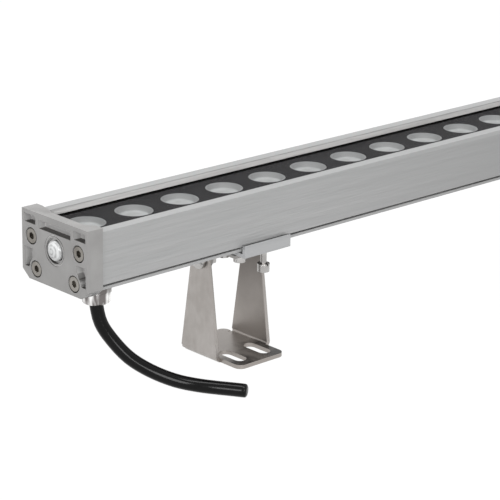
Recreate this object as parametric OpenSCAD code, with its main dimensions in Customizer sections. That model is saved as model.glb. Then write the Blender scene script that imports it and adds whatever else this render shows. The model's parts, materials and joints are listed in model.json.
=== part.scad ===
// Wall washer light: an extruded housing with a row of lenses, carried by two
// tilting brackets whose clamps slide along its side grooves.
// X runs along the light, -Y is the front side, Z is up, and z = 0 is the
// underside of the two bracket feet. The origin lies midway between them.

/* [Light] */
// Overall length over both end caps
light_length = 500; // [420:10:900]
// Height of the tilt axis above the ground
hinge_height = 49; // [45:1:90]
// Distance from the tilt axis up to the underside of the end caps
hinge_drop = 6; // [5:0.5:10]
// Distance that the tilt axis lies behind the middle of the light
hinge_offset = 3; // [0:0.5:4]
// Distance of each bracket from the middle of the light
bracket_reach = 145; // [80:1:150]

/* [End caps] */
// Thickness of an end cap
cap_thickness = 8.5; // [8:0.5:12]
// Width of an end cap
cap_width = 46.4; // [46:0.1:50]
// Height of an end cap
cap_height = 32; // [32:0.5:36]
// Width of the lower corner chamfers
cap_chamfer_width = 4.9; // [2:0.1:6]
// Height of the lower corner chamfers
cap_chamfer_height = 3.8; // [2:0.1:5]
// Depth of the sloping scoop in the top edge
cap_scoop_depth = 1.9; // [0.5:0.1:2]
// Half width of the flat middle of the scoop
cap_scoop_flat = 10; // [6:0.5:12]
// Half width of the scoop where it runs out
cap_scoop_reach = 19; // [14:0.5:21]
// Depth of the moulded pockets in the outer face
pocket_depth = 4; // [1:0.5:4]

/* [Housing] */
// Width of the housing
housing_width = 44.6; // [44:0.1:45.2]
// Height of the lips above the underside of the end caps
lip_height = 29.8; // [29:0.1:31]
// Width of each lip
lip_width = 5.4; // [4.6:0.1:5.8]
// Thickness of the side walls
wall = 2; // [1.6:0.1:2.4]
// Height of the ledges that carry the mask plate
ledge_height = 25.4; // [25:0.1:26]
// Height of the shelf that carries the led board
shelf_height = 11.3; // [11:0.1:12]
// Thickness of the shelf
shelf_thickness = 2; // [1.5:0.1:2.5]
// Height of the underside above the underside of the end caps
belly_height = 2.7; // [2.2:0.1:3]
// Thickness of the bottom plate
belly_thickness = 1.8; // [1.4:0.1:2]
// Half width of the bottom plate's lowest face
belly_half = 18.4; // [17.6:0.1:19]
// Underside of the side flanges
flange_height = 3.3; // [3.1:0.1:3.5]
// Thickness of the side flanges
flange_thickness = 1.3; // [1:0.1:1.4]
// Height of the side grooves
groove_height = 0.9; // [0.8:0.1:1.4]
// Depth of the side grooves
groove_depth = 4.4; // [3.5:0.1:4.6]

/* [Optics] */
// Distance between neighbouring lenses
lens_pitch = 27.3; // [24:0.1:32]
// Least distance from the edge of the last lens to the end of the housing
lens_margin = 0.6; // [0.3:0.1:6]
// Diameter of a lens face
lens_d = 17.6; // [14:0.1:18.4]
// Gap round a lens in the mask plate
lens_gap = 0.1; // [0.05:0.05:0.3]
// Diameter of a lens at its foot
lens_foot_d = 8.4; // [7:0.1:10]
// Thickness of the mask plate
mask_thickness = 1.5; // [1:0.1:1.6]
// Half width of the mask plate
mask_half = 14; // [13.5:0.1:14.6]
// Thickness of the cover sheet
cover_thickness = 1.5; // [1:0.1:1.8]

/* [Electronics] */
// Width of the led board
board_w = 24; // [20:1:26]
// Thickness of both circuit boards
board_t = 1.6; // [1:0.1:1.6]
// Width of an emitter
emitter_w = 3.5; // [2.5:0.1:5]
// Height of an emitter
emitter_h = 0.8; // [0.5:0.1:1]
// Length of the driver board
driver_length = 150; // [100:5:200]
// Width of the driver board
driver_w = 18; // [12:1:19]

/* [Fasteners] */
// Diameter of the end cap screws
screw_d = 4; // [3.4:0.1:4]
// Diameter of their heads
screw_head_d = 6.8; // [6.6:0.1:7]
// Height of their heads
screw_head_h = 4; // [3.4:0.1:4]
// Width across flats of their sockets
screw_socket = 3; // [2.5:0.1:3]
// Depth of the sockets
screw_socket_depth = 2; // [1.5:0.1:2.4]
// Diameter of the clamp screws
jaw_screw_d = 3.2; // [2.6:0.1:4]
// Diameter of their heads
jaw_head_d = 5.8; // [5.2:0.1:7]
// Height of their heads
jaw_head_h = 3.1; // [2.8:0.1:4]
// Width across flats of the clamp screws' sockets
jaw_socket = 2.5; // [2:0.1:3]
// Diameter of the pivot screws
pivot_d = 5; // [4:0.1:5]
// Diameter of the pivot screw heads
pivot_head_d = 9.5; // [8.5:0.1:10]
// Height of the pivot screw heads
pivot_head_h = 2.7; // [2:0.1:3]

/* [Brackets] */
// Outer width of the U, along the light
bracket_w = 34.6; // [34:0.1:36]
// Thickness of the bent sheet
sheet = 2; // [1.5:0.1:2.2]
// Inner radius of the bends
bend_r = 1; // [0.5:0.1:1.5]
// Radius of the arms about the tilt axis
arm_top_r = 5.8; // [5.6:0.1:7.2]
// Half width of the arms at their foot
arm_foot_half = 12.4; // [10:0.1:13]
// Width of the foot plate, along the light
foot_w = 29; // [26:0.1:30]
// Reach of the foot plate to the front
foot_front = 22.8; // [21:0.1:25]
// Reach of the foot plate to the rear
foot_rear = 20.2; // [19.4:0.1:25]
// Radius of the foot plate's corners
foot_corner_r = 3.5; // [1:0.5:5]
// Width of the slots in the foot plate
slot_w = 6.4; // [4.2:0.1:6.8]
// Length of the slots
slot_length = 16; // [12:0.5:17]
// Distance between the middles of the two slots
slot_spacing = 15.4; // [14:0.1:16.4]
// Distance of the slots' middles in front of the middle of the light
slot_forward = 10.5; // [9:0.5:11]

/* [Clamps] */
// Thickness of the saddle plate
saddle_t = 1.5; // [1.2:0.1:1.5]
// Height of the saddle's top above the underside of the end caps
saddle_top = 0.4; // [0:0.1:0.5]
// Half length of the saddle, across the light
saddle_half = 19; // [18:0.5:20]
// Radius of the saddle's lugs about the tilt axis
lug_r = 5.4; // [5:0.1:5.8]
// Length of the jaws, along the light
jaw_length = 28.9; // [26:0.1:30]
// Half reach of the jaws, across the light
jaw_half = 25; // [24.6:0.1:26]
// Thickness of the jaws' outer walls
jaw_wall = 1.9; // [1.4:0.1:1.9]
// Height of the jaws' outer walls
jaw_height = 5.9; // [5.6:0.1:7]
// Thickness of the jaws' webs
jaw_web = 2; // [1.5:0.1:2]
// Inner edge of the jaws' webs, from the middle of the light
jaw_inner = 9.5; // [8:0.5:10]
// Thickness of the jaws' lips
jaw_lip = 0.5; // [0.4:0.1:0.5]
// Inner edge of the jaws' lips
jaw_lip_inner = 18.3; // [18.2:0.1:20]
// Distance of the jaw screws from the middle of the light
jaw_screw_y = 14; // [13:0.5:15]
// Distance of the jaw screws from the middle of the clamp
jaw_screw_x = 7.7; // [6:0.1:8]
// Length that a lock screw stands out below the saddle
lock_stand = 9; // [3:0.1:9.6]
// Thickness of the spring washers
spring_washer_t = 0.9; // [0.6:0.1:1]

/* [Gland and cord] */
// Distance of the gland from the outer face of the near end cap
gland_x = 23.1; // [22:0.1:40]
// Width across flats of the gland body
gland_flats = 13; // [12.4:0.1:13]
// Distance from the housing's underside to the joint of body and nut
gland_body_drop = 8.8; // [8:0.1:11]
// Width across flats of the nut
gland_nut_flats = 12.2; // [11:0.1:12.4]
// Height of the nut's hexagon
gland_nut_h = 3.2; // [2.6:0.1:4.5]
// Height of the nut's rounded end
gland_nose_h = 2.5; // [1:0.1:3]
// Diameter of the nut's rounded end
gland_nose_d = 9; // [8.5:0.1:10]
// Diameter of the gland's thread in the housing
gland_thread_d = 10; // [8:0.5:11]
// Diameter of the cord
cord_d = 6.4; // [5:0.1:6.4]

/* [Clearances] */
// Gap between pieces that slide or turn past each other
run_gap = 0.25; // [0.1:0.05:0.3]
// Radial gap of a screw in its hole
screw_gap = 0.2; // [0.1:0.05:0.3]
// Radial gap of a pivot screw in its arm
pivot_gap = 0.05; // [0.02:0.01:0.1]
// Gap between fitted pieces
fit_gap = 0.1; // [0.05:0.05:0.15]

/* [Hidden] */
$fn = 48;

// one overrun for every cut
over = 1;

light_z = hinge_height + hinge_drop;
face_x = light_length / 2;
housing_length = light_length - 2 * cap_thickness;
housing_x = housing_length / 2;
housing_half = housing_width / 2;
inner_half = housing_half - wall;

// heights inside the housing, above the underside of the end caps
shelf_top = shelf_height + shelf_thickness;
belly_top = belly_height + belly_thickness;
flange_top = flange_height + flange_thickness;
groove_top = flange_top + groove_height;
mask_top = ledge_height + mask_thickness;

// ledge under each lip; the seal strips on it stand just above the mask plate
ledge_half = housing_half - lip_width;
ledge_t = 2;
ledge_inner = 13;
seal_rise = 0.1;
cover_gap = 0.3;
cover_z = mask_top + seal_rise;
cover_half = ledge_half - cover_gap;

// screw ports of the housing, as (y, z) from the underside of the end caps
upper_port = [16.6, 20.2];
lower_port = [13.3, 5.6];
ports = [upper_port, lower_port];
upper_port_wall = 1.6;
lower_port_wall = 1.2;
cap_screw_length = 16;

// pockets of the end caps
head_gap = 0.5;
head_sink = 0.2;
counterbore_d = screw_head_d + 2 * head_gap;
counterbore_depth = screw_head_h + head_sink;
top_slot_half = 11.2;
top_slot_low = 25;
top_slot_high = 29;
corner_inner = 13.5;
corner_outer = 21.5;
corner_low = 26;
corner_high = 30;
side_low = 5.4;
side_high = 14.6;
side_knee = 11;
side_inner = 15.4;
side_inner_low = 18.5;
port_ring_wall = 0.8;
port_ring_d = counterbore_d + 2 * port_ring_wall;

// vent plug in the middle of the end cap
plug_z = 17.4;
plug_d = 9.3;
plug_seat_d = 11.6;
plug_ring_d = 14;
plug_ring_w = 0.5;
plug_ring_depth = 0.5;
plug_seat_depth = 1.8;
plug_stem_d = 5;
plug_head_h = 1.3;
plug_dome_h = 1.8;
plug_seal_h = 0.6;

// gasket between cap and housing, sunk in the cap
gasket_t = 1;
gasket_rim = 1.5;
gasket_low_rim = 0.6;
gasket_low = belly_height + gasket_low_rim;
gasket_window_half = upper_port[0] - screw_d / 2 - gasket_rim;

// row of lenses, centred on the light
lens_count = floor((housing_length - lens_d - 2 * lens_margin) / lens_pitch) + 1;
lens_x0 = -(lens_count - 1) * lens_pitch / 2;
board_margin = 6;
board_length = (lens_count - 1) * lens_pitch + 2 * board_margin;
board_top = shelf_top + board_t;
lens_low = board_top + emitter_h + run_gap;
lens_rim_h = 2;
holder_wall = 1;
holder_base_d = 13;
board_screw_d = 2.5;
board_screw_head_d = 4.5;
board_screw_head_h = 1.6;
board_screw_y = 9.5;

// leads pass through the shelf and the led board behind the first lens
lead_x = lens_x0 + lens_pitch / 2;
lead_hole_d = 2.4;

// driver board in the lower chamber, on standoffs of its own; its parts as
// shares of its length, its width and the tallest part's height
standoff_h = 1;
standoff_d = 3;
driver_z = belly_top + standoff_h;
driver_top = driver_z + board_t;
driver_half = driver_w / 2;
chip_h = 2.8;
chip_shares = [[-0.36, 0.09, 0.66, 0.93], [-0.2, 0.07, 0.55, 0.64], [-0.05, 0.08, 0.6, 1],
    [0.1, 0.05, 0.45, 0.57], [0.24, 0.1, 0.66, 0.96], [0.38, 0.06, 0.55, 0.8]];

// wires: the supply pair in the middle, the pair to the leds outside
wire_d = 1.4;
wire_sides = 8;
wire_turn = 1.2;
wire_z = driver_top + wire_d + wire_turn / 2;
core_y = 1.4;
led_y = 4;
wire_end = 3;

// gland and cord
gland_place = -face_x + gland_x;
gland_joint = belly_height - gland_body_drop;
gland_low = gland_joint - gland_nut_h - gland_nose_h;
gland_thread_rise = 2.6;
gland_top = belly_top + gland_thread_rise;
locknut_h = 2;
locknut_flats = 12.5;
seal_wall = 0.8;
seal_h = 6;
cord_bore_d = cord_d + 2 * fit_gap;
seal_d = cord_bore_d + 2 * seal_wall;
cord_sides = 12;
cord_side = [1, 1, 0];
// hand-chosen centre line of the cord from the gland to its free end: X from
// the gland's axis, Y, and the height above the ground
cord_route = [[1, -2, 34], [4.5, -5.5, 26], [10, -11, 17.5], [17.5, -17, 11],
    [26, -24, 6.2], [34, -31, 3.8], [40.5, -39, 3.2], [47.5, -49.5, 3.2]];

// brackets and clamps
arm_x = bracket_w / 2;
arm_inner = arm_x - sheet;
bend_outer = bend_r + sheet;
arm_corner = 3;
arm_tuck = 0.04;
clamp_half = arm_inner - run_gap;
lug_t = 1.5;
saddle_low = saddle_top - saddle_t;
web_top = saddle_top + jaw_web;
lip_z = flange_top + (groove_height - jaw_lip) / 2;
screw_tip = belly_height - run_gap;
head_seat = saddle_low - spring_washer_t;
lock_seat = saddle_low - lock_stand;
washer_rim = 0.1;
washer_d = jaw_head_d + 2 * washer_rim;
washer_slit = 0.6;
pivot_z = -hinge_drop;
pivot_nut_flats = 8;
pivot_nut_h = 3.2;
pivot_tail = 1;
pivot_crown_d = 6;

// draws its children with heights counted from the underside of the end caps
module at_light() {
    translate([0, 0, light_z])
        children();
}

// extrudes a (y, z) outline along X
module along_x(start, length) {
    translate([start, 0, 0])
        rotate([90, 0, 90])
            linear_extrude(length)
                children();
}

// a cylinder along X
module rod_x(start, length, d) {
    translate([start, 0, 0])
        rotate([0, 90, 0])
            cylinder(h = length, d = d);
}

// a square from (y0, z0) to (y1, z1)
module span(y0, z0, y1, z1) {
    translate([y0, z0])
        square([y1 - y0, z1 - z0]);
}

// its children on both sides of y = 0
module both_sides() {
    children();
    mirror([1, 0])
        children();
}

// its children at every end cap screw of one end
module at_ports() {
    for (p = ports, side = [-1, 1])
        translate([0, side * p[0], p[1]])
            children();
}

// flips a near-end piece to the far end
module far() {
    mirror([1, 0, 0])
        children();
}

// ---- housing ----

module housing_outline() {
    groove_wall = housing_half - groove_depth;
    difference() {
        union() {
            // bottom plate, flanges and the narrow neck behind the grooves
            span(-belly_half, belly_height, belly_half, belly_top);
            both_sides() {
                span(groove_wall - wall, flange_height, housing_half, flange_top);
                span(groove_wall - wall, belly_height, groove_wall, groove_top + wall);
                // side wall and its foot above the groove
                span(inner_half, groove_top, housing_half, lip_height);
                span(groove_wall - wall, groove_top, housing_half, groove_top + wall);
                // lip with the ledge under it
                span(ledge_half, ledge_height, housing_half, lip_height);
                span(ledge_inner, ledge_height - ledge_t, housing_half, ledge_height);
                // round screw ports with webs to the walls
                translate(upper_port)
                    circle(d = screw_d + 2 * upper_port_wall);
                span(upper_port[0], upper_port[1] - upper_port_wall,
                    housing_half, upper_port[1] + upper_port_wall);
                translate(lower_port)
                    circle(d = screw_d + 2 * lower_port_wall);
            }
            // shelf for the led board
            span(-housing_half, shelf_height, housing_half, shelf_top);
        }
        // screw ports, and the step under the flanges
        both_sides() {
            span(belly_half, -over, housing_half + over, flange_height);
            translate(upper_port)
                circle(d = screw_d);
            translate(lower_port)
                circle(d = screw_d);
        }
        // nothing reaches below the bottom plate
        span(-housing_half, -over, housing_half, belly_height);
    }
}

module housing() {
    color("silver")
        at_light()
            difference() {
                along_x(-housing_x, housing_length)
                    housing_outline();
                // gland hole in the bottom plate
                translate([gland_place, 0, -over])
                    cylinder(h = belly_top + 2 * over, d = gland_thread_d + 2 * fit_gap);
                // lead holes through the shelf
                for (side = [-1, 1])
                    translate([lead_x, side * led_y, shelf_height - over])
                        cylinder(h = shelf_thickness + 2 * over, d = lead_hole_d);
                // board screw holes in the shelf
                at_board_screws()
                    translate([0, 0, shelf_height - over])
                        cylinder(h = shelf_thickness + 2 * over,
                            d = board_screw_d + 2 * fit_gap);
            }
}

// ---- end caps ----

module cap_outline() {
    half = cap_width / 2;
    polygon([[-half, cap_chamfer_height], [-half + cap_chamfer_width, 0],
        [half - cap_chamfer_width, 0], [half, cap_chamfer_height],
        [half, cap_height], [-half, cap_height]]);
}

// outline of the gasket's recess, inside the housing's outer edge
module gasket_outline() {
    half = housing_half - gasket_rim;
    span(-half, gasket_low, half, lip_height - gasket_rim);
}

module side_pocket() {
    polygon([[side_inner, side_high], [corner_outer, side_high], [corner_outer, side_low],
        [side_inner_low, side_low], [side_inner, side_knee]]);
}

module end_cap() {
    inner_x = -face_x + cap_thickness;
    low = cap_height - cap_scoop_depth;
    at_light()
        difference() {
            along_x(-face_x, cap_thickness)
                cap_outline();
            // scoop: falls from the outer edge of the top to its inner edge
            intersection() {
                along_x(-face_x - over, cap_thickness + 2 * over)
                    polygon([[-cap_scoop_flat, low], [cap_scoop_flat, low],
                        [cap_scoop_reach, cap_height], [cap_scoop_reach, cap_height + over],
                        [-cap_scoop_reach, cap_height + over], [-cap_scoop_reach, cap_height]]);
                translate([0, cap_width, 0])
                    rotate([90, 0, 0])
                        linear_extrude(2 * cap_width)
                            polygon([[-face_x, cap_height], [inner_x + over, low],
                                [inner_x + over, cap_height + over],
                                [-face_x, cap_height + over]]);
            }
            // moulded pockets in the outer face
            along_x(-face_x - over, pocket_depth + over) {
                span(-top_slot_half, top_slot_low, top_slot_half, top_slot_high);
                both_sides() {
                    span(corner_inner, corner_low, corner_outer, corner_high);
                    difference() {
                        side_pocket();
                        translate(lower_port)
                            circle(d = port_ring_d);
                    }
                }
            }
            // counterbores and holes of the cap screws
            at_ports() {
                rod_x(-face_x - over, counterbore_depth + over, counterbore_d);
                rod_x(-face_x - over, cap_thickness + 2 * over, screw_d + 2 * screw_gap);
            }
            // ring, seat and bore of the vent plug
            translate([0, 0, plug_z]) {
                difference() {
                    rod_x(-face_x - over, plug_ring_depth + over, plug_ring_d);
                    rod_x(-face_x - 2 * over, plug_ring_depth + 3 * over,
                        plug_ring_d - 2 * plug_ring_w);
                }
                rod_x(-face_x - over, plug_seat_depth + over, plug_seat_d);
                rod_x(-face_x - over, cap_thickness + 2 * over, plug_stem_d + 2 * fit_gap);
            }
            // recess of the gasket
            along_x(inner_x - gasket_t, gasket_t + over)
                gasket_outline();
        }
}

module near_end_cap() {
    color("darkgray")
        end_cap();
}

module far_end_cap() {
    color("darkgray")
        far()
            end_cap();
}

// gasket, open over the upper chamber of the housing
module gasket() {
    at_light()
        difference() {
            along_x(-face_x + cap_thickness - gasket_t, gasket_t)
                gasket_outline();
            at_ports()
                rod_x(-face_x, 2 * cap_thickness, screw_d + 2 * screw_gap);
            translate([0, 0, plug_z])
                rod_x(-face_x, 2 * cap_thickness, plug_seat_d);
            along_x(-face_x, 2 * cap_thickness)
                span(-gasket_window_half, shelf_top, gasket_window_half, ledge_height);
        }
}

module near_gasket() {
    color("black")
        gasket();
}

module far_gasket() {
    color("black")
        far()
            gasket();
}

// socket-head screw along X, its head's outer face at x = 0
module cap_screw() {
    difference() {
        union() {
            rod_x(0, screw_head_h, screw_head_d);
            rod_x(0, screw_head_h + cap_screw_length, screw_d - 2 * fit_gap);
        }
        translate([-over, 0, 0])
            rotate([0, 90, 0])
                hexagon(screw_socket_depth + over, screw_socket);
    }
}

module cap_screws() {
    at_light()
        at_ports()
            translate([-face_x + counterbore_depth - screw_head_h, 0, 0])
                cap_screw();
}

module near_cap_screws() {
    color("slategray")
        cap_screws();
}

module far_cap_screws() {
    color("slategray")
        far()
            cap_screws();
}

// clear vent plug: domed head, stem through the cap
module plug() {
    seat_x = -face_x + plug_seat_depth;
    dome_r = (pow(plug_d / 2, 2) + pow(plug_dome_h, 2)) / (2 * plug_dome_h);
    at_light()
        translate([seat_x - plug_seal_h, 0, plug_z]) {
            rod_x(-plug_head_h, plug_head_h, plug_d);
            rod_x(-plug_head_h, plug_head_h + plug_seal_h + cap_thickness - plug_seat_depth,
                plug_stem_d);
            intersection() {
                translate([-plug_head_h - plug_dome_h + dome_r, 0, 0])
                    rotate([0, 90, 0])
                        sphere(r = dome_r, $fn = 96);
                rod_x(-plug_head_h - plug_dome_h, plug_dome_h + plug_head_h, plug_d);
            }
        }
}

module near_plug() {
    color("white")
        plug();
}

module far_plug() {
    color("white")
        far()
            plug();
}

module plug_seal() {
    at_light()
        translate([-face_x + plug_seat_depth - plug_seal_h, 0, plug_z])
            difference() {
                rod_x(0, plug_seal_h, plug_d);
                rod_x(-over, plug_seal_h + 2 * over, plug_stem_d + 2 * fit_gap);
            }
}

module near_plug_seal() {
    color("black")
        plug_seal();
}

module far_plug_seal() {
    color("black")
        far()
            plug_seal();
}

// ---- optics ----

module at_lenses() {
    for (i = [0 : lens_count - 1])
        translate([lens_x0 + i * lens_pitch, 0, 0])
            children();
}

module cover() {
    color("azure", 0.3)
        at_light()
            along_x(-housing_x + fit_gap, housing_length - 2 * fit_gap)
                span(-cover_half, cover_z, cover_half, cover_z + cover_thickness);
}

module cover_seals() {
    color("black")
        at_light()
            along_x(-housing_x + fit_gap, housing_length - 2 * fit_gap)
                both_sides()
                    span(mask_half + fit_gap, ledge_height, ledge_half, cover_z);
}

module mask_plate() {
    color("dimgray")
        at_light()
            difference() {
                along_x(-housing_x + fit_gap, housing_length - 2 * fit_gap)
                    span(-mask_half, ledge_height, mask_half, mask_top);
                at_lenses()
                    translate([0, 0, ledge_height - over])
                        cylinder(h = mask_thickness + 2 * over, d = lens_d + 2 * lens_gap);
            }
}

module lenses() {
    color("whitesmoke")
        at_light()
            at_lenses()
                rotate_extrude()
                    polygon([[0, lens_low], [lens_foot_d / 2, lens_low],
                        [lens_d / 2, mask_top - lens_rim_h], [lens_d / 2, mask_top],
                        [0, mask_top]]);
}

// ring stand round each lens, on the led board
module lens_holders() {
    rim = lens_d / 2 + fit_gap;
    foot = lens_foot_d / 2 + fit_gap;
    rim_low = mask_top - lens_rim_h;
    top = ledge_height - fit_gap;
    color("gainsboro")
        at_light()
            at_lenses()
                rotate_extrude()
                    polygon([[foot, lens_low], [rim, rim_low], [rim, top],
                        [rim + holder_wall, top], [rim + holder_wall, rim_low],
                        [holder_base_d / 2, board_top + holder_wall],
                        [holder_base_d / 2, board_top], [foot, board_top]]);
}

module at_board_screws() {
    for (i = [1 : 4 : lens_count - 2], side = [-1, 1])
        translate([lens_x0 + (i + 1 / 2) * lens_pitch, side * board_screw_y, 0])
            children();
}

module led_board() {
    color("white")
        at_light()
            difference() {
                translate([-board_length / 2, -board_w / 2, shelf_top])
                    cube([board_length, board_w, board_t]);
                at_board_screws()
                    translate([0, 0, shelf_top - over])
                        cylinder(h = board_t + 2 * over, d = board_screw_d + 2 * fit_gap);
                for (side = [-1, 1])
                    translate([lead_x, side * led_y, shelf_top - over])
                        cylinder(h = board_t + 2 * over, d = lead_hole_d);
            }
}

module led_emitters() {
    color("gold")
        at_light()
            at_lenses()
                translate([-emitter_w / 2, -emitter_w / 2, board_top])
                    cube([emitter_w, emitter_w, emitter_h]);
}

module board_screws() {
    color("slategray")
        at_light()
            at_board_screws() {
                translate([0, 0, board_top])
                    cylinder(h = board_screw_head_h, d = board_screw_head_d);
                translate([0, 0, shelf_height])
                    cylinder(h = shelf_thickness + board_t + fit_gap, d = board_screw_d);
            }
}

// ---- electronics in the lower chamber ----

module driver_board() {
    color("seagreen")
        at_light() {
            translate([-driver_length / 2, -driver_half, driver_z])
                cube([driver_length, driver_w, board_t]);
            for (end = [-1, 1], side = [-1, 1])
                translate([end * (driver_length / 2 - standoff_d),
                    side * (driver_half - standoff_d), belly_top])
                    cylinder(h = standoff_h + board_t, d = standoff_d);
        }
}

module driver_parts() {
    color("black")
        at_light()
            for (c = chip_shares)
                translate([(c[0] - c[1] / 2) * driver_length, -c[2] * driver_half, driver_top])
                    cube([c[1] * driver_length, c[2] * driver_w, c[3] * chip_h]);
}

// supply pair from the cord to the driver board, and the pair to the led board
module lead_wires() {
    end_x = -driver_length / 2 + wire_end;
    turn = wire_turn;
    color("firebrick")
        at_light()
            for (side = [-1, 1]) {
                tube([[gland_place, side * core_y, gland_top],
                    [gland_place, side * core_y, wire_z - turn],
                    [gland_place + turn, side * core_y, wire_z],
                    [end_x - turn, side * core_y, wire_z],
                    [end_x, side * core_y, wire_z - turn],
                    [end_x, side * core_y, driver_top]], wire_d, wire_sides, [0, 1, 0]);
                tube([[end_x, side * led_y, driver_top],
                    [end_x, side * led_y, wire_z - turn],
                    [end_x - turn, side * led_y, wire_z],
                    [lead_x + turn, side * led_y, wire_z],
                    [lead_x, side * led_y, wire_z + turn],
                    [lead_x, side * led_y, board_top + wire_d / 2]],
                    wire_d, wire_sides, [0, 1, 0]);
            }
}

// ---- supply cord and its gland ----

// hexagonal prism, its corners along X
module hexagon(height, flats) {
    cylinder(h = height, d = flats / cos(30), $fn = 6);
}

module gland_body() {
    color("lightgray")
        at_light()
            translate([gland_place, 0, 0])
                difference() {
                    union() {
                        translate([0, 0, gland_joint])
                            hexagon(gland_body_drop, gland_flats);
                        translate([0, 0, gland_joint])
                            cylinder(h = gland_top - gland_joint, d = gland_thread_d);
                    }
                    translate([0, 0, gland_joint - over])
                        cylinder(h = gland_top - gland_joint + 2 * over, d = cord_bore_d);
                    translate([0, 0, gland_joint - over])
                        cylinder(h = seal_h + over, d = seal_d + 2 * fit_gap);
                }
}

module gland_seal() {
    color("black")
        at_light()
            translate([gland_place, 0, gland_joint])
                difference() {
                    cylinder(h = seal_h, d = seal_d);
                    translate([0, 0, -over])
                        cylinder(h = seal_h + 2 * over, d = cord_bore_d);
                }
}

// nut with a rounded lower end
module gland_nut() {
    corner_r = gland_nut_flats / cos(30) / 2;
    nose_r = gland_nose_d / 2;
    steps = 6;
    color("lightgray")
        at_light()
            translate([gland_place, 0, gland_low])
                difference() {
                    intersection() {
                        hexagon(gland_nose_h + gland_nut_h, gland_nut_flats);
                        rotate_extrude()
                            polygon(concat([[0, gland_nose_h + gland_nut_h], [0, 0]],
                                [for (i = [0 : steps])
                                    [nose_r + (corner_r - nose_r) * sin(90 * i / steps),
                                     gland_nose_h * (1 - cos(90 * i / steps))]],
                                [[corner_r, gland_nose_h + gland_nut_h]]));
                    }
                    translate([0, 0, -over])
                        cylinder(h = gland_nose_h + gland_nut_h + 2 * over, d = cord_bore_d);
                }
}

module gland_locknut() {
    color("lightgray")
        at_light()
            translate([gland_place, 0, belly_top])
                difference() {
                    hexagon(locknut_h, locknut_flats);
                    translate([0, 0, -over])
                        cylinder(h = locknut_h + 2 * over, d = gland_thread_d + 2 * fit_gap);
                }
}

function unit(v) = v / norm(v);
// direction of the route at one of its points
function heading(path, i) =
    unit(path[min(i + 1, len(path) - 1)] - path[max(i - 1, 0)]);
// ring of n points round one point of a route, square to its heading; side is
// a direction across the whole route
function ring(path, i, d, n, side) =
    let (t = heading(path, i), a = unit(cross(side, t)), b = cross(t, a))
    [for (k = [0 : n - 1]) path[i] + d / 2 * (cos(360 * k / n) * a + sin(360 * k / n) * b)];

// closed tube swept along a list of points
module tube(path, d, n, side) {
    last = len(path) - 1;
    points = [for (i = [0 : last]) each ring(path, i, d, n, side)];
    polyhedron(points,
        concat([[for (k = [0 : n - 1]) k]],
            [for (i = [0 : last - 1], k = [0 : n - 1])
                let (a = i * n + k, b = i * n + (k + 1) % n)
                each [[a, a + n, b], [b, a + n, b + n]]],
            [[for (k = [n - 1 : -1 : 0]) last * n + k]]));
}

module supply_cord() {
    path = concat([[gland_place, 0, light_z + gland_top], [gland_place, 0, light_z + gland_low]],
        [for (p = cord_route) [gland_place + p[0], p[1], max(p[2], cord_d / 2)]]);
    color("black")
        tube(path, cord_d, cord_sides, cord_side);
}

// ---- brackets ----

// folded strip as seen along Y: rounded at the two bends
module fold_outline(half, low, r) {
    top = hinge_height + arm_top_r + over;
    span(-half, low + r, half, top);
    span(-half + r, low, half - r, top);
    for (side = [-1, 1])
        translate([side * (half - r), low + r])
            circle(r = r);
}

// arm as seen along X, from the ground to its round top; its sides run a
// little inside the tangent, so that they cross the top's edge cleanly
module arm_outline() {
    rise = hinge_height - arm_corner;
    lean = acos(arm_top_r / norm([arm_foot_half, rise])) - atan2(rise, arm_foot_half);
    side_r = arm_top_r - arm_tuck;
    side_y = side_r * cos(lean);
    side_z = hinge_height + side_r * sin(lean);
    translate([hinge_offset, 0]) {
        translate([0, hinge_height])
            circle(r = arm_top_r);
        polygon([[-arm_foot_half, 0], [arm_foot_half - arm_corner, 0],
            [arm_foot_half, arm_corner], [side_y, side_z], [-side_y, side_z],
            [-arm_foot_half, arm_corner]]);
    }
}

module slot_outline() {
    straight = slot_length - slot_w;
    for (end = [-1, 1])
        translate([0, end * straight / 2])
            circle(d = slot_w);
    span(-slot_w / 2, -straight / 2, slot_w / 2, straight / 2);
}

// foot plate with round corners and two slots; beside the bends it is
// only as wide as its flat part
module foot_outline() {
    r = foot_corner_r;
    half = foot_w / 2;
    flat = arm_inner - bend_outer;
    difference() {
        union() {
            span(-half + r, -foot_front, half - r, foot_rear);
            span(-half, -foot_front + r, half, foot_rear - r);
            for (x = [r - half, half - r], y = [r - foot_front, foot_rear - r])
                translate([x, y])
                    circle(r = r);
        }
        both_sides()
            span(flat, hinge_offset - arm_foot_half, arm_x, hinge_offset + arm_foot_half);
        for (side = [-1, 1])
            translate([side * slot_spacing / 2, -slot_forward])
                slot_outline();
    }
}

module bracket() {
    translate([-bracket_reach, 0, 0])
        difference() {
            union() {
                linear_extrude(sheet)
                    foot_outline();
                intersection() {
                    translate([0, foot_rear, 0])
                        rotate([90, 0, 0])
                            linear_extrude(foot_front + foot_rear)
                                difference() {
                                    fold_outline(arm_x, 0, bend_outer);
                                    fold_outline(arm_inner, sheet, bend_r);
                                }
                    along_x(-arm_x, bracket_w)
                        arm_outline();
                }
            }
            // slots and pivot holes
            for (side = [-1, 1])
                translate([side * slot_spacing / 2, -slot_forward, -over])
                    linear_extrude(sheet + 2 * over)
                        slot_outline();
            translate([0, hinge_offset, hinge_height])
                rod_x(-arm_x - over, bracket_w + 2 * over, pivot_d + 2 * pivot_gap);
        }
}

module near_bracket() {
    color("tan")
        bracket();
}

module far_bracket() {
    color("tan")
        far()
            bracket();
}

// ---- clamps ----

// draws its children at the near clamp, heights as at_light
module at_clamp() {
    at_light()
        translate([-bracket_reach, 0, 0])
            children();
}

module both_arms() {
    children();
    mirror([1, 0, 0])
        children();
}

// children at both jaws' screws, on one side of the clamp's middle
module at_jaw_screws(x) {
    for (side = [-1, 1])
        translate([x, side * jaw_screw_y, 0])
            children();
}

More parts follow.
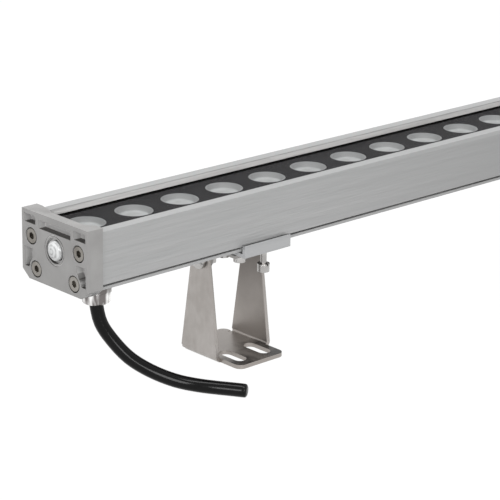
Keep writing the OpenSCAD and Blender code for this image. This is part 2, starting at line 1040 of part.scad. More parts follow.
module saddle() {
    at_clamp()
        difference() {
            union() {
                translate([-clamp_half, -saddle_half, saddle_low])
                    cube([2 * clamp_half, 2 * saddle_half, saddle_t]);
                both_arms()
                    along_x(clamp_half - lug_t, lug_t)
                        translate([hinge_offset, 0]) {
                            translate([0, pivot_z])
                                circle(r = lug_r);
                            span(-lug_r, pivot_z, lug_r, saddle_top);
                        }
            }
            translate([0, hinge_offset, pivot_z])
                rod_x(-clamp_half - over, 2 * clamp_half + 2 * over, pivot_d + 2 * fit_gap);
            for (x = [-1, 1])
                at_jaw_screws(x * jaw_screw_x)
                    translate([0, 0, saddle_low - over])
                        cylinder(h = saddle_t + 2 * over, d = jaw_screw_d + 2 * screw_gap);
        }
}

module near_saddle() {
    color("gray")
        saddle();
}

module far_saddle() {
    color("gray")
        far()
            saddle();
}

// front jaw: web on the saddle, wall past the flange, lip in the groove
module jaw() {
    at_clamp()
        difference() {
            along_x(-jaw_length / 2, jaw_length) {
                span(-jaw_half, saddle_top, -jaw_inner, web_top);
                span(-jaw_half, saddle_top, -jaw_half + jaw_wall, saddle_top + jaw_height);
                span(-jaw_half, lip_z, -jaw_lip_inner, lip_z + jaw_lip);
            }
            for (x = [-1, 1])
                translate([x * jaw_screw_x, -jaw_screw_y, saddle_top - over])
                    cylinder(h = jaw_web + 2 * over, d = jaw_screw_d);
        }
}

module near_front_jaw() {
    color("silver")
        jaw();
}

module near_rear_jaw() {
    color("silver")
        mirror([0, 1, 0])
            jaw();
}

module far_front_jaw() {
    color("silver")
        far()
            jaw();
}

module far_rear_jaw() {
    color("silver")
        far()
            mirror([0, 1, 0])
                jaw();
}

// upright socket-head screw, its head under the given seat
module jaw_screw(seat) {
    difference() {
        union() {
            translate([0, 0, seat - jaw_head_h])
                cylinder(h = jaw_head_h, d = jaw_head_d);
            translate([0, 0, seat - jaw_head_h])
                cylinder(h = screw_tip - seat + jaw_head_h, d = jaw_screw_d - 2 * fit_gap);
        }
        translate([0, 0, seat - jaw_head_h - over])
            hexagon(screw_socket_depth + over, jaw_socket);
    }
}

module clamp_screws() {
    at_clamp()
        at_jaw_screws(-jaw_screw_x)
            jaw_screw(head_seat);
}

module near_clamp_screws() {
    color("gray")
        clamp_screws();
}

module far_clamp_screws() {
    color("gray")
        far()
            clamp_screws();
}

module lock_screws() {
    at_clamp()
        at_jaw_screws(jaw_screw_x)
            jaw_screw(lock_seat);
}

module near_lock_screws() {
    color("gray")
        lock_screws();
}

module far_lock_screws() {
    color("gray")
        far()
            lock_screws();
}

// split ring washer standing on z = 0
module spring_washer() {
    difference() {
        cylinder(h = spring_washer_t, d = washer_d);
        translate([0, 0, -over])
            cylinder(h = spring_washer_t + 2 * over, d = jaw_screw_d + 2 * screw_gap);
        translate([-washer_slit / 2, -washer_d, -over])
            cube([washer_slit, washer_d, spring_washer_t + 2 * over]);
    }
}

module spring_washers() {
    at_clamp() {
        at_jaw_screws(-jaw_screw_x)
            translate([0, 0, head_seat])
                spring_washer();
        at_jaw_screws(jaw_screw_x)
            translate([0, 0, lock_seat])
                spring_washer();
    }
}

module near_spring_washers() {
    color("gray")
        spring_washers();
}

module far_spring_washers() {
    color("gray")
        far()
            spring_washers();
}

// button-head screws through the arms and the lugs of the saddle
module pivot_screws() {
    nut_x = clamp_half - lug_t - pivot_nut_h;
    head_x = arm_x + run_gap;
    at_clamp()
        translate([0, hinge_offset, pivot_z])
            both_arms()
                difference() {
                    union() {
                        rod_x(nut_x - pivot_tail, head_x - nut_x + pivot_tail + pivot_head_h / 2,
                            pivot_d);
                        rod_x(head_x, pivot_head_h / 2, pivot_head_d);
                        translate([head_x + pivot_head_h / 2, 0, 0])
                            rotate([0, 90, 0])
                                cylinder(h = pivot_head_h / 2, d1 = pivot_head_d,
                                    d2 = pivot_crown_d);
                    }
                    translate([head_x + pivot_head_h - screw_socket_depth, 0, 0])
                        rotate([0, 90, 0])
                            hexagon(screw_socket_depth + over, screw_socket);
                }
}

module near_pivot_screws() {
    color("gray")
        pivot_screws();
}

module far_pivot_screws() {
    color("gray")
        far()
            pivot_screws();
}

module pivot_nuts() {
    at_clamp()
        translate([0, hinge_offset, pivot_z])
            both_arms()
                translate([clamp_half - lug_t - pivot_nut_h, 0, 0])
                    rotate([0, 90, 0])
                        difference() {
                            hexagon(pivot_nut_h, pivot_nut_flats);
                            translate([0, 0, -over])
                                cylinder(h = pivot_nut_h + 2 * over, d = pivot_d + 2 * fit_gap);
                        }
}

module near_pivot_nuts() {
    color("gray")
        pivot_nuts();
}

module far_pivot_nuts() {
    color("gray")
        far()
            pivot_nuts();
}

housing();
near_end_cap();
far_end_cap();
near_gasket();
far_gasket();
near_cap_screws();
far_cap_screws();
near_plug();
far_plug();
near_plug_seal();
far_plug_seal();
cover();
cover_seals();
mask_plate();
lenses();
lens_holders();
led_board();
led_emitters();
board_screws();
driver_board();
driver_parts();
lead_wires();
gland_body();
gland_seal();
gland_nut();
gland_locknut();
supply_cord();
near_bracket();
near_saddle();
near_front_jaw();
near_rear_jaw();
near_clamp_screws();
near_spring_washers();
near_lock_screws();
near_pivot_screws();
near_pivot_nuts();
far_bracket();
far_saddle();
far_front_jaw();
far_rear_jaw();
far_clamp_screws();
far_spring_washers();
far_lock_screws();
far_pivot_screws();
far_pivot_nuts();
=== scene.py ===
import json
import math

import bmesh
import bpy
from mathutils import Matrix, Vector


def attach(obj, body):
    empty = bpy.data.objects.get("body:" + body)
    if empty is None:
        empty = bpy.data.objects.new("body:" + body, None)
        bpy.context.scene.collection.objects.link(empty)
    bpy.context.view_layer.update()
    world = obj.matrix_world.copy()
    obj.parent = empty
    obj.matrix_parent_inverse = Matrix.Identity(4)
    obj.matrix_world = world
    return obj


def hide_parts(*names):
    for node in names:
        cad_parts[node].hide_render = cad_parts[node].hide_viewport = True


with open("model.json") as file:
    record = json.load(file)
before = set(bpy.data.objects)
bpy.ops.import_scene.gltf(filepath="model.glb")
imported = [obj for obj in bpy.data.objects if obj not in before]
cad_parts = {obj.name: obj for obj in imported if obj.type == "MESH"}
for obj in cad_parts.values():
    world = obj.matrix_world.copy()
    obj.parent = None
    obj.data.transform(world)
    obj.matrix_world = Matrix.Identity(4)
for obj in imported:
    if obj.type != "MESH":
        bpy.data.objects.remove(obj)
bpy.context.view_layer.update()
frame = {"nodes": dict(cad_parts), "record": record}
print("frame loaded")

mm = 0.001
lightZ = 0.055  # underside of the end caps above the ground


# camera at the photograph's angle, its place in millimetres
cameraView = {"place": (-808.819, -721.007, 378.803), "yaw": 43.148406, "pitch": 18.525936,
              "roll": 0.990360, "focalPixels": 2195.2352, "picture": 500, "sensor": 36.0,
              "clip": (0.05, 50)}


def placeCamera():
    v = cameraView
    yaw, pitch, roll = (math.radians(v[k]) for k in ("yaw", "pitch", "roll"))
    ahead = Vector((math.cos(pitch) * math.sin(yaw), math.cos(pitch) * math.cos(yaw),
                    -math.sin(pitch)))
    right = Vector((math.cos(yaw), -math.sin(yaw), 0))
    up = right.cross(ahead)
    turnedRight = math.cos(roll) * right + math.sin(roll) * up
    turnedUp = -math.sin(roll) * right + math.cos(roll) * up
    data = bpy.data.cameras.new("camera")
    data.sensor_width = v["sensor"]
    data.lens = v["focalPixels"] / v["picture"] * v["sensor"]
    data.clip_start, data.clip_end = v["clip"]
    camera = bpy.data.objects.new("camera", data)
    turn = Matrix((turnedRight, turnedUp, -ahead)).transposed().to_4x4()
    camera.matrix_world = Matrix.Translation(Vector(v["place"]) * mm) @ turn
    bpy.context.scene.collection.objects.link(camera)
    bpy.context.scene.camera = camera


placeCamera()
print("camera placed")


# a shader socket that can be added, multiplied and so on
class Sock:
    def __init__(self, finish, socket):
        self.finish, self.socket = finish, socket

    def maths(self, operation, *others):
        return self.finish.node("ShaderNodeMath", {"operation": operation},
                                dict(enumerate((self, *others))))

    def size(self):
        return self.maths("ABSOLUTE")

    def __add__(self, other):
        return self.maths("ADD", other)

    def __sub__(self, other):
        return self.maths("SUBTRACT", other)

    def __mul__(self, other):
        return self.maths("MULTIPLY", other)

    __radd__ = __add__


# part of the normal's Z over which a face goes from upright to facing up
upwardRange = (0.2, 0.7)


class Finish:
    def __init__(self, name, world=None):
        self.material = world or bpy.data.materials.new(name)
        self.material.use_nodes = True
        self.tree = self.material.node_tree
        self.shader = self.tree.nodes.get("Principled BSDF")

    def put(self, socket, value):
        if isinstance(value, Sock):
            self.tree.links.new(value.socket, socket)
        elif isinstance(value, tuple) and len(value) == 3 and socket.type == "RGBA":
            socket.default_value = (*value, 1)
        else:
            socket.default_value = value

    def node(self, kind, settings=None, inputs=None, output=0):
        made = self.tree.nodes.new(kind)
        for key, value in (settings or {}).items():
            setattr(made, key, value)
        for key, value in (inputs or {}).items():
            self.put(made.inputs[key], value)
        return Sock(self, made.outputs[output])

    def place(self, stretch):
        spot = self.node("ShaderNodeTexCoord", output="Object")
        return self.node("ShaderNodeMapping", inputs={"Vector": spot, "Scale": stretch})

    def axis(self, name, source="Object"):  # place along one axis in metres, or a part of the normal
        spot = self.node("ShaderNodeTexCoord", output=source)
        return self.node("ShaderNodeSeparateXYZ", inputs={"Vector": spot}, output="XYZ".index(name))

    def facingUp(self):
        return self.spread(self.axis("Z", "Normal"), 0, 1, *upwardRange)

    def below(self, value, high, soft=0.0003):  # 1 below high, 0 above it
        return self.spread(value, 1, 0, high - soft, high + soft)

    def within(self, value, low, high, soft=0.0003):  # 1 between low and high, 0 outside
        return self.spread(value, 0, 1, low - soft, low + soft) * self.below(value, high, soft)

    def noise(self, scale, stretch=(1, 1, 1), detail=3, rough=0.5):
        return self.node("ShaderNodeTexNoise", inputs={
            "Vector": self.place(stretch), "Scale": scale, "Detail": detail, "Roughness": rough})

    def spread(self, value, low, high, fromLow=0.3, fromHigh=0.7):
        return self.node("ShaderNodeMapRange", inputs={
            "Value": value, "From Min": fromLow, "From Max": fromHigh,
            "To Min": low, "To Max": high})

    def blend(self, factor, a, b):
        return self.node("ShaderNodeMix", {"data_type": "RGBA"},
                         {"Factor": factor, 6: a, 7: b}, output=2)

    def bump(self, height, strength, distance):
        return self.node("ShaderNodeBump", inputs={
            "Height": height, "Strength": strength, "Distance": distance})

    def set(self, **values):
        for key, value in values.items():
            self.put(self.shader.inputs[key.replace("_", " ")], value)
        return self.material


# anodised extrusion: fine lines along the light, ripples near the near end, painted shade on the
# front face towards the far end, painted light making the inner walls beside the cover pale
profileLook = {
    "dark": (0.385, 0.39, 0.39), "light": (0.445, 0.445, 0.445), "toneRange": (0.35, 0.65),
    # far: painted shade, the front face darker towards the far end
    "far": (0.315, 0.317, 0.317), "farFade": (-0.12, 0.1),
    "frontEdge": (-0.021, -0.0205), "frontTop": (lightZ + 0.0275, lightZ + 0.028),
    # inner: painted light, making the inner walls beside the cover pale
    "inner": (0.80, 0.79, 0.78), "innerLow": lightZ + 0.0255, "innerHigh": lightZ + 0.0295,
    "innerReach": 0.0182,
    "lines": {"scale": 260, "stretch": (0.02, 1, 1), "detail": 4, "rough": 0.6},
    "ripples": {"scale": 420, "stretch": (0.07, 1, 1), "detail": 2},
    "broad": {"scale": 60, "stretch": (0.03, 1, 1), "detail": 2},
    "grain": {"scale": 2600, "detail": 2},
    "lineShare": 0.35, "broadShare": 0.3, "grainShare": 0.15, "rippleShare": 0.2,
    "rippleFade": (-0.04, 0.11), "lineHeight": 0.4, "rippleHeight": 5.0,
    "strength": 0.45, "depth": 0.0002, "rough": (0.42, 0.58), "metal": 0.35,
}


def brushedProfile():
    f = Finish("anodised profile")
    t = profileLook
    lines, ripples, broad, grain = (f.noise(**t[k]) for k in ("lines", "ripples", "broad", "grain"))
    mixed = (lines * t["lineShare"] + broad * t["broadShare"] + grain * t["grainShare"]
             + ripples * t["rippleShare"])
    tone = f.spread(mixed, 0, 1, *t["toneRange"])
    front = f.spread(f.axis("Y"), 1, 0, *t["frontEdge"]) * f.spread(f.axis("Z"), 1, 0, *t["frontTop"])
    # painted shade: the front face darkens towards the far end
    farShadeMask = f.spread(f.axis("X"), 0, 1, *t["farFade"]) * front
    outer = f.blend(farShadeMask, f.blend(tone, t["dark"], t["light"]), t["far"])
    # painted light: the inner walls beside the cover are made pale
    paintedLightAndShadeZone = (f.within(f.axis("Z"), t["innerLow"], t["innerHigh"])
              * f.below(f.axis("Y").size(), t["innerReach"]))
    fade = f.spread(f.axis("X"), 1, 0, *t["rippleFade"])
    height = lines * t["lineHeight"] + ripples * fade * t["rippleHeight"]
    return f.set(Base_Color=f.blend(paintedLightAndShadeZone, outer, t["inner"]), Metallic=t["metal"],
                 Roughness=f.spread(lines, *t["rough"]),
                 Normal=f.bump(height, t["strength"], t["depth"]))


# cast caps: painted light inside the pockets, painted shade on the pockets' lower walls
capLook = {
    # deep: painted shade on the pockets' up-facing lower walls; pale: painted light on the other
    # pocket walls
    "dark": (0.31, 0.305, 0.30), "light": (0.365, 0.36, 0.355), "deep": (0.06, 0.056, 0.052),
    "pale": (0.58, 0.575, 0.57), "sunkX": (0.2459, 0.2497), "sunkReach": 0.0222,
    "sunkZ": (lightZ + 0.0008, lightZ + 0.031), "sunkSoft": 0.0001,
    "grain": {"scale": 1500, "detail": 4, "rough": 0.6}, "patch": {"scale": 90, "detail": 2},
    "strength": 0.2, "depth": 0.00008, "rough": (0.34, 0.48), "metal": 0.4,
}


def castCap():
    f = Finish("cast end cap")
    t = capLook
    grain = f.noise(**t["grain"])
    # the pockets: painted light on their walls, painted shade where the walls face up
    pocketShadingZone = (f.within(f.axis("X").size(), *t["sunkX"], t["sunkSoft"])
            * f.below(f.axis("Y").size(), t["sunkReach"]) * f.within(f.axis("Z"), *t["sunkZ"]))
    face = f.blend(f.spread(f.noise(**t["patch"]), 0, 1), t["dark"], t["light"])
    return f.set(Base_Color=f.blend(pocketShadingZone, face, f.blend(f.facingUp(), t["pale"], t["deep"])),
                 Metallic=t["metal"], Roughness=f.spread(grain, *t["rough"]),
                 Normal=f.bump(grain, t["strength"], t["depth"]))


# soft mottling that all steel pieces share
steelLook = {
    "cloud": {"scale": 60, "detail": 3, "rough": 0.6},
    "speck": {"scale": 420, "stretch": (1, 1, 0.4), "detail": 3},
    "cloudShare": 0.7, "speckShare": 0.3, "toneRange": (0.38, 0.62),
    "pits": {"scale": 1800, "detail": 2}, "strength": 0.12, "depth": 0.00005,
    "rough": (0.3, 0.42), "metal": 0.8,
}


def steelMottling(f):
    t = steelLook
    cloud = f.noise(**t["cloud"])
    speck = f.noise(**t["speck"])
    tone = f.spread(cloud * t["cloudShare"] + speck * t["speckShare"], 0, 1, *t["toneRange"])
    return cloud, tone, f.bump(f.noise(**t["pits"]), t["strength"], t["depth"])


def stainless(name, dark, light, rough=steelLook["rough"], metal=steelLook["metal"]):
    f = Finish(name)
    cloud, tone, pits = steelMottling(f)
    return f.set(Base_Color=f.blend(tone, dark, light), Metallic=metal,
                 Roughness=f.spread(cloud, *rough), Normal=pits)


# clamp jaws: painted shade along the edge that faces the housing
jawLook = {
    # gap: painted shade in the gap between the jaw's top edge and the housing
    "dark": (0.42, 0.425, 0.43), "light": (0.49, 0.495, 0.5), "gap": (0.02, 0.02, 0.02),
    "gapReach": (0.022, 0.0243), "gapSoft": 0.0001, "gapHeight": lightZ + 0.002, "gapFade": 0.0005,
    "lines": {"scale": 260, "stretch": (0.05, 1, 1), "detail": 4, "rough": 0.6},
    "strength": 0.2, "depth": 0.0001, "rough": (0.36, 0.5), "metal": 0.35,
}


def jawAluminium():
    f = Finish("jaw aluminium")
    t = jawLook
    lines = f.noise(**t["lines"])
    # painted shade along the jaw's top edge beside the housing
    gap = (f.within(f.axis("Y").size(), *t["gapReach"], t["gapSoft"]) * f.facingUp()
           * f.spread(f.axis("Z"), 0, 1, t["gapHeight"] - t["gapFade"], t["gapHeight"]))
    face = f.blend(f.spread(lines, 0, 1), t["dark"], t["light"])
    return f.set(Base_Color=f.blend(gap, face, t["gap"]), Metallic=t["metal"],
                 Roughness=f.spread(lines, *t["rough"]),
                 Normal=f.bump(lines, t["strength"], t["depth"]))


# brackets: painted shade inside the fold, deeper up the inner faces, and a painted dark reflection on
# the foot plate's top towards the front
bracketLook = {
    "dark": (0.375, 0.35, 0.33), "light": (0.455, 0.43, 0.41),
    # inner and high: painted shade inside the fold, deeper towards the top
    "reach": 0.145, "half": 0.0156, "inner": (0.355, 0.327, 0.305),
    "high": (0.15, 0.136, 0.125), "rise": (0.012, 0.045), "riseCloud": 0.01,
    # plate: painted dark reflection on the foot plate's top, stronger towards the front
    "plate": (0.03, 0.027, 0.025), "plateTop": 0.0024, "front": (-0.02, -0.002),
    "frontCloud": 0.06, "rearShare": 0.1,
}


def bracketSteel():
    f = Finish("bracket steel")
    t = bracketLook
    cloud, tone, pits = steelMottling(f)
    drift = cloud - 0.5
    outer = f.blend(tone, t["dark"], t["light"])
    # the inner faces of the fold, which get painted shade
    paintedLightAndShadeZone = f.below((f.axis("X").size() - t["reach"]).size(), t["half"])
    # painted dark reflection on the foot plate's top towards the front
    plate = (f.below(f.axis("Z"), t["plateTop"]) * f.facingUp()
             * f.spread(f.axis("Y") + drift * t["frontCloud"], 1, t["rearShare"], *t["front"]))
    foldPaintedShade = f.blend(f.spread(f.axis("Z") + drift * t["riseCloud"], 0, 1, *t["rise"]),
                   t["inner"], t["high"])
    return f.set(Base_Color=f.blend(plate, f.blend(paintedLightAndShadeZone, outer, foldPaintedShade), t["plate"]),
                 Metallic=steelLook["metal"], Roughness=f.spread(cloud, *steelLook["rough"]),
                 Normal=pits)


# black plastics and rubber: a lighter fleck in a dark ground
satinLook = {"detail": 3, "fleckTimes": 1.5, "fleckMore": 0.002, "roughHalf": 0.05, "depth": 0.00005}


def blackSatin(name, colour, rough, gloss, grainScale=1800, strength=0.1):
    f = Finish(name)
    t = satinLook
    grain = f.noise(grainScale, detail=t["detail"])
    fleck = tuple(c * t["fleckTimes"] + t["fleckMore"] for c in colour)
    return f.set(Base_Color=f.blend(f.spread(grain, 0, 1), colour, fleck),
                 Roughness=f.spread(grain, rough - t["roughHalf"], rough + t["roughHalf"]),
                 Normal=f.bump(grain, strength, t["depth"]), Specular_IOR_Level=gloss)


# lenses: pale dish floor, and a darker wall that is painted shade
lensLook = {
    # wall: painted shade on the dish wall
    "wall": (0.235, 0.24, 0.24), "floor": (0.43, 0.44, 0.44), "floorTop": lightZ + 0.0247,
    "soft": 0.0003, "cloud": {"scale": 160, "detail": 2}, "wander": 0.0006,
    "rough": (0.3, 0.45), "gloss": 0.2,
}


def lensFrost():
    f = Finish("frosted lens")
    t = lensLook
    cloud = f.noise(**t["cloud"])
    height = f.axis("Z") + (cloud - 0.5) * t["wander"]
    # painted shade on the dish wall above the floor
    wall = f.spread(height, 0, 1, t["floorTop"] - t["soft"], t["floorTop"] + t["soft"])
    return f.set(Base_Color=f.blend(wall, t["floor"], t["wall"]),
                 Roughness=f.spread(cloud, *t["rough"]), Specular_IOR_Level=t["gloss"])


# cover: nearly clear, so that the black mask under it stays black
coverLook = {"tint": (0.8, 0.82, 0.82), "rough": 0.08, "bend": 1.02,
             "haze": {"scale": 40, "detail": 2}, "alpha": (0.002, 0.006)}


def clearCover():
    f = Finish("clear cover")
    t = coverLook
    material = f.set(Base_Color=t["tint"], Roughness=t["rough"], IOR=t["bend"],
                     Alpha=f.spread(f.noise(**t["haze"]), *t["alpha"]))
    material.surface_render_method = "BLENDED"
    return material


# vent plugs: faint rings and streaks down in the plastic
plugLook = {
    "middle": lightZ + 0.0174, "clear": (0.43, 0.435, 0.435), "milk": (0.72, 0.73, 0.73),
    "ringWidth": 0.0016, "ringShare": 0.12, "cloudShare": 0.75, "lift": 0.12,
    "cloud": {"scale": 420, "stretch": (1, 1.8, 0.7), "detail": 3, "rough": 0.6},
    "milkRange": (0.32, 0.56), "rough": (0.1, 0.2), "coat": 0.3,
}


def milkyPlug():
    f = Finish("milky plug")
    t = plugLook
    across, up = f.axis("Y"), f.axis("Z") - t["middle"]
    away = (across * across + up * up).maths("SQRT")
    ring = (away * (2 * math.pi / t["ringWidth"])).maths("SINE")
    cloud = f.noise(**t["cloud"])
    mixed = cloud * t["cloudShare"] + ring * t["ringShare"] + t["lift"]
    return f.set(Base_Color=f.blend(f.spread(mixed, 0, 1, *t["milkRange"]), t["clear"], t["milk"]),
                 Roughness=f.spread(cloud, *t["rough"]), Coat_Weight=t["coat"])


# gland: painted reflections as bright and dark upright bands, darker towards the top
nickelLook = {
    # the bright and dark colours are painted reflections
    "shade": (0.19, 0.175, 0.17), "bright": (0.95, 0.94, 0.93), "mid": (0.14, 0.13, 0.125),
    "top": lightZ - 0.0035, "fade": 0.004, "topShare": 0.8,
    "bands": {"scale": 230, "stretch": (1, 1, 0.25), "detail": 2, "rough": 0.6},
    "bandRange": (0.36, 0.5), "cloud": {"scale": 500, "detail": 2}, "rough": (0.1, 0.2),
    "metal": 0.95,
}


def nickel():
    f = Finish("nickel plate")
    t = nickelLook
    # painted reflections: bright and dark upright bands
    paintedReflections = f.blend(f.spread(f.noise(**t["bands"]), 0, 1, *t["bandRange"]), t["shade"], t["bright"])
    high = f.spread(f.axis("Z"), 0, t["topShare"], t["top"] - t["fade"], t["top"])
    return f.set(Base_Color=f.blend(high, paintedReflections, t["mid"]), Metallic=t["metal"],
                 Roughness=f.spread(f.noise(**t["cloud"]), *t["rough"]))


# pieces inside the light: plain mouldings with a fine grain
mouldedLook = {"grain": {"scale": 1200, "detail": 3}, "darkShare": 0.85, "roughHalf": 0.08,
               "strength": 0.1, "depth": 0.00005}


def plainMoulded(name, colour, rough=0.5):
    f = Finish(name)
    t = mouldedLook
    grain = f.noise(**t["grain"])
    darker = tuple(c * t["darkShare"] for c in colour)
    return f.set(Base_Color=f.blend(f.spread(grain, 0, 1), darker, colour),
                 Roughness=f.spread(grain, rough - t["roughHalf"], rough + t["roughHalf"]),
                 Normal=f.bump(grain, t["strength"], t["depth"]))


def makeFinishes():
    return {
        "housing_aluminium": brushedProfile(),
        "cap_aluminium": castCap(),
        "seal_rubber": blackSatin("seal rubber", (0.001, 0.001, 0.001), rough=0.7, gloss=0.0),
        "cap_screw_steel": stainless("cap screw steel", (0.21, 0.195, 0.175), (0.33, 0.315, 0.29),
                                     rough=(0.2, 0.3), metal=0.95),
        "plug_plastic": milkyPlug(),
        "cover_glass": clearCover(),
        "mask_black": blackSatin("black mask", (0.010, 0.0095, 0.0105), rough=0.5, gloss=0.035),
        "lens_clear": lensFrost(),
        "holder_white": plainMoulded("lens holder", (0.7, 0.7, 0.7)),
        "board_white": plainMoulded("led board", (0.8, 0.8, 0.8)),
        "emitter_yellow": plainMoulded("emitter", (0.75, 0.62, 0.1)),
        "driver_green": plainMoulded("driver board", (0.03, 0.22, 0.07)),
        "driver_black": plainMoulded("driver parts", (0.03, 0.03, 0.03)),
        "wire_red": plainMoulded("wire jacket", (0.45, 0.03, 0.02), rough=0.35),
        "gland_nickel": nickel(),
        "cord_black": blackSatin("cord jacket", (0.001, 0.001, 0.001), rough=0.15, gloss=0.17,
                                 grainScale=1400, strength=0.02),
        "bracket_steel": bracketSteel(),
        "saddle_steel": stainless("saddle steel", (0.26, 0.25, 0.24), (0.34, 0.33, 0.32)),
        "jaw_aluminium": jawAluminium(),
        "screw_steel": stainless("bright screws", (0.38, 0.37, 0.36), (0.52, 0.51, 0.5),
                                 rough=(0.16, 0.26), metal=0.97),
    }


finishes = makeFinishes()
print("finishes made")


def newPiece(name, data, body, slotName, *nodes):
    piece = bpy.data.objects.new(name, data)
    bpy.context.scene.collection.objects.link(piece)
    data.materials.clear()
    data.materials.append(finishes[slotName])
    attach(piece, body)
    if nodes:
        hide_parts(*nodes)
    return piece


def bodyOf(node):
    for name, nodes in frame["record"]["behaviour"]["bodies"].items():
        if node in nodes:
            return name


# supply cord in millimetres: route points as in the part, from the gland's axis
cordFacts = {"gland": (-226.9, 0.0), "exit": 43.2, "start": 47.5, "diameter": 6.4,
             "route": ((1, -2, 34), (4.5, -5.5, 26), (10, -11, 17.5), (17.5, -17, 11),
                       (26, -24, 6.2), (34, -31, 3.8), (40.5, -39, 3.2), (47.5, -49.5, 3.2)),
             "steps": 4, "tip": ((0.9, 0.98), (0.5, 0.9), (0.15, 0.72)), "tipEnd": 0.5,
             "roundSteps": 8}


def smoothRoute(points, steps):
    padded = [points[0]] + list(points) + [points[-1]]
    out = []
    for a, b, c, d in zip(padded, padded[1:], padded[2:], padded[3:]):
        for k in range(steps):
            t = k / steps
            out.append(0.5 * ((2 * b) + (c - a) * t + (2 * a - 5 * b + 4 * c - d) * t * t
                              + (3 * b - a - 3 * c + d) * t ** 3))
    return out + [points[-1]]


def makeCord():
    c = cordFacts
    gx, gy = c["gland"]
    points = [Vector((gx, gy, c["start"])), Vector((gx, gy, c["exit"]))]
    points += [Vector((gx + x, gy + y, z)) for x, y, z in c["route"]]
    radius = c["diameter"] / 2
    path = [Vector((p.x, p.y, max(p.z, radius))) for p in smoothRoute(points, c["steps"])]
    end, before = path[-1], path[-2]
    ahead = (end - before).normalized()
    rounded = [(end - ahead * back, size) for back, size in c["tip"]]
    spots = [(p, 1.0) for p in path[:-1]] + rounded + [(end, c["tipEnd"])]
    data = bpy.data.curves.new("supplyCord", "CURVE")
    data.dimensions = "3D"
    data.bevel_depth = radius * mm
    data.bevel_resolution = c["roundSteps"]
    data.use_fill_caps = True
    spline = data.splines.new("POLY")
    spline.points.add(len(spots) - 1)
    for point, (p, size) in zip(spline.points, spots):
        point.co = (*(p * mm), 1)
        point.radius = size
    spline.use_smooth = True
    piece = newPiece("supplyCord", data, "light", "cord_black", "supply_cord")
    return piece


# width in millimetres of the softened edges, for pieces whose shape is the solid's own
softEdges = {
    "housing": 0.25, "near_end_cap": 0.35, "far_end_cap": 0.35,
    "near_cap_screws": 0.3, "far_cap_screws": 0.3, "near_plug": 0.3, "far_plug": 0.3,
    "mask_plate": 0.1, "gland_body": 0.35, "gland_nut": 0.35,
    "near_bracket": 0.3, "far_bracket": 0.3, "near_saddle": 0.2, "far_saddle": 0.2,
    "near_front_jaw": 0.2, "near_rear_jaw": 0.2, "far_front_jaw": 0.2, "far_rear_jaw": 0.2,
    "near_clamp_screws": 0.4, "near_lock_screws": 0.4, "near_spring_washers": 0.12,
    "far_clamp_screws": 0.4, "far_lock_screws": 0.4, "far_spring_washers": 0.12,
    "near_pivot_screws": 0.3, "far_pivot_screws": 0.3, "near_pivot_nuts": 0.25,
    "far_pivot_nuts": 0.25,
}
edgeFacts = {"weld": 1e-6, "flat": math.radians(0.5), "sharp": math.radians(28),
             "crease": math.radians(40), "segments": 2, "evenWeight": 80}


def camel(name):
    first, *rest = name.split("_")
    return first + "".join(word.capitalize() for word in rest)


def edgesPast(bm, angle):
    return [e for e in bm.edges if len(e.link_faces) == 2 and e.calc_face_angle(0) > angle]


def smoothMesh(bm, name):
    for face in bm.faces:
        face.smooth = True
    for edge in edgesPast(bm, edgeFacts["crease"]):
        edge.smooth = False
    data = bpy.data.meshes.new(name)
    bm.to_mesh(data)
    bm.free()
    return data


def softCopy(nodeName, width):
    bm = bmesh.new()
    bm.from_mesh(frame["nodes"][nodeName].data)
    bmesh.ops.remove_doubles(bm, verts=bm.verts, dist=edgeFacts["weld"])
    bmesh.ops.dissolve_limit(bm, angle_limit=edgeFacts["flat"], verts=bm.verts, edges=bm.edges)
    bmesh.ops.bevel(bm, geom=edgesPast(bm, edgeFacts["sharp"]), offset=width * mm,
                    offset_type="OFFSET", affect="EDGES", segments=edgeFacts["segments"],
                    profile=0.5, material=-1, clamp_overlap=True)
    data = smoothMesh(bm, camel(nodeName))
    piece = newPiece(camel(nodeName), data, bodyOf(nodeName), slotOf[nodeName], nodeName)
    even = piece.modifiers.new("evenNormals", "WEIGHTED_NORMAL")
    even.keep_sharp = True
    even.weight = edgeFacts["evenWeight"]
    return piece


slotOf = {entry["node"]: entry["material_slot"] for entry in frame["record"]["subparts"]}
softPieces = {name: softCopy(name, width) for name, width in softEdges.items()}
print("solid pieces softened")

makeCord()
print("cord laid")


# lenses in millimetres above the end caps' underside: a raised rim round a shallow dish
lensShape = {"count": 18, "pitch": 27.3, "top": 26.9, "radius": 8.8, "rim": 0.4, "rimEdge": 0.1,
             "depth": 2.5, "floor": 5.8, "bow": 0.2, "bowSteps": 6, "foot": 4.2, "low": 15.95,
             "shoulder": 24.9, "turns": 64,
             "wallShares": ((0.15, 0.03), (0.35, 0.14), (0.6, 0.38), (0.82, 0.68), (0.95, 0.92))}


def lensOutline():
    s = lensShape
    r, top, floor, steps = s["radius"], s["top"], s["floor"], s["bowSteps"]
    dish, bottom = r - s["rim"], top - s["depth"]
    bowed = [(floor * k / steps, bottom + s["bow"] * (1 - (k / steps) ** 2))
             for k in range(steps + 1)]
    wall = [(floor + (dish - floor) * a, bottom + s["depth"] * b) for a, b in s["wallShares"]]
    outside = [(dish, top), (r - s["rimEdge"], top), (r, top - s["rimEdge"]), (r, s["shoulder"]),
               (s["foot"], s["low"]), (0, s["low"])]
    return bowed + wall + outside


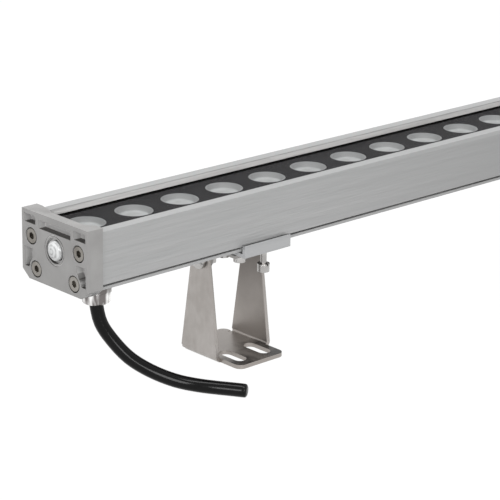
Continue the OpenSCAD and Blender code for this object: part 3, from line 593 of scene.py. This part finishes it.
def makeLenses():
    s = lensShape
    outline = lensOutline()
    bm = bmesh.new()
    for i in range(s["count"]):
        x = (i - (s["count"] - 1) / 2) * s["pitch"]
        spots = [bm.verts.new(Vector((x + a, 0, lightZ / mm + z)) * mm) for a, z in outline]
        line = [bm.edges.new(pair) for pair in zip(spots, spots[1:])]
        bmesh.ops.spin(bm, geom=spots + line, cent=(x * mm, 0, 0), axis=(0, 0, 1),
                       angle=2 * math.pi, steps=s["turns"], use_merge=True)
    bmesh.ops.remove_doubles(bm, verts=bm.verts, dist=edgeFacts["weld"])
    bmesh.ops.recalc_face_normals(bm, faces=bm.faces)
    newPiece("lensRow", smoothMesh(bm, "lensRow"), "light", "lens_clear", "lenses")


makeLenses()
print("lenses made")

# every other solid keeps its own mesh and gets its finish
for name, node in frame["nodes"].items():
    if not node.material_slots:
        node.data.materials.append(finishes[slotOf[name]])
    for slotSpot in node.material_slots:
        slotSpot.material = finishes[slotOf[name]]


# pale floor that keeps the shadow, white to the camera
stageFacts = {"floorSize": 12.0, "floorShare": 0.86, "floorGlow": 1.15, "floorTone": 0.3,
              "floorRough": 0.9, "ambient": 0.5}


def rayIsSeen(f):
    path = f.tree.nodes.new("ShaderNodeLightPath")
    camera, glossy, through = (Sock(f, path.outputs[key]) for key in (
        "Is Camera Ray", "Is Glossy Ray", "Is Transmission Ray"))
    return camera.maths("MAXIMUM", glossy).maths("MAXIMUM", through)


def makeFloor():
    s = stageFacts
    bm = bmesh.new()
    bmesh.ops.create_grid(bm, x_segments=1, y_segments=1, size=s["floorSize"] / 2)
    data = bpy.data.meshes.new("floor")
    bm.to_mesh(data)
    bm.free()
    floor = bpy.data.objects.new("floor", data)
    bpy.context.scene.collection.objects.link(floor)
    f = Finish("floor")
    f.set(Base_Color=(s["floorTone"],) * 3, Roughness=s["floorRough"], Specular_IOR_Level=0.0)
    glow = f.node("ShaderNodeEmission", inputs={"Color": (1.0, 1.0, 1.0), "Strength": s["floorGlow"]})
    mix = f.node("ShaderNodeMixShader", inputs={
        0: rayIsSeen(f) * s["floorShare"], 1: Sock(f, f.shader.outputs[0]), 2: glow})
    f.tree.links.new(mix.socket, f.tree.nodes["Material Output"].inputs["Surface"])
    data.materials.append(f.material)


def makeWorld():
    world = bpy.data.worlds.new("studio")
    bpy.context.scene.world = world
    f = Finish("studio", world)
    back = f.tree.nodes["Background"]
    back.inputs["Color"].default_value = (1, 1, 1, 1)
    low = stageFacts["ambient"]
    f.put(back.inputs["Strength"], low + rayIsSeen(f) * (1 - low))


lamps = {
    "topBox": {"place": (-0.3, -0.05, 1.6), "target": (0, 0, 0.05), "size": (1.8, 0.4), "power": 15},
    "frontBox": {"place": (-0.75, -1.4, 0.5), "target": (-0.1, 0, 0.05), "size": (0.5, 0.8),
                 "power": 11},
    "leftBox": {"place": (-1.6, -0.55, 0.5), "target": (-0.1, 0, 0.05), "size": (0.45, 0.6),
                "power": 7},
}


def areaLight(name, place, target, size, power):
    data = bpy.data.lights.new(name, "AREA")
    data.shape = "RECTANGLE"
    data.size, data.size_y = size
    data.energy = power
    lamp = bpy.data.objects.new(name, data)
    aim = Vector(target) - Vector(place)
    lamp.matrix_world = Matrix.Translation(place) @ aim.to_track_quat("-Z", "Y").to_matrix().to_4x4()
    bpy.context.scene.collection.objects.link(lamp)


makeFloor()
makeWorld()
for lampName, lampFacts in lamps.items():
    areaLight(lampName, **lampFacts)
bpy.context.scene.view_settings.view_transform = "Standard"
print("stage and lamps set")
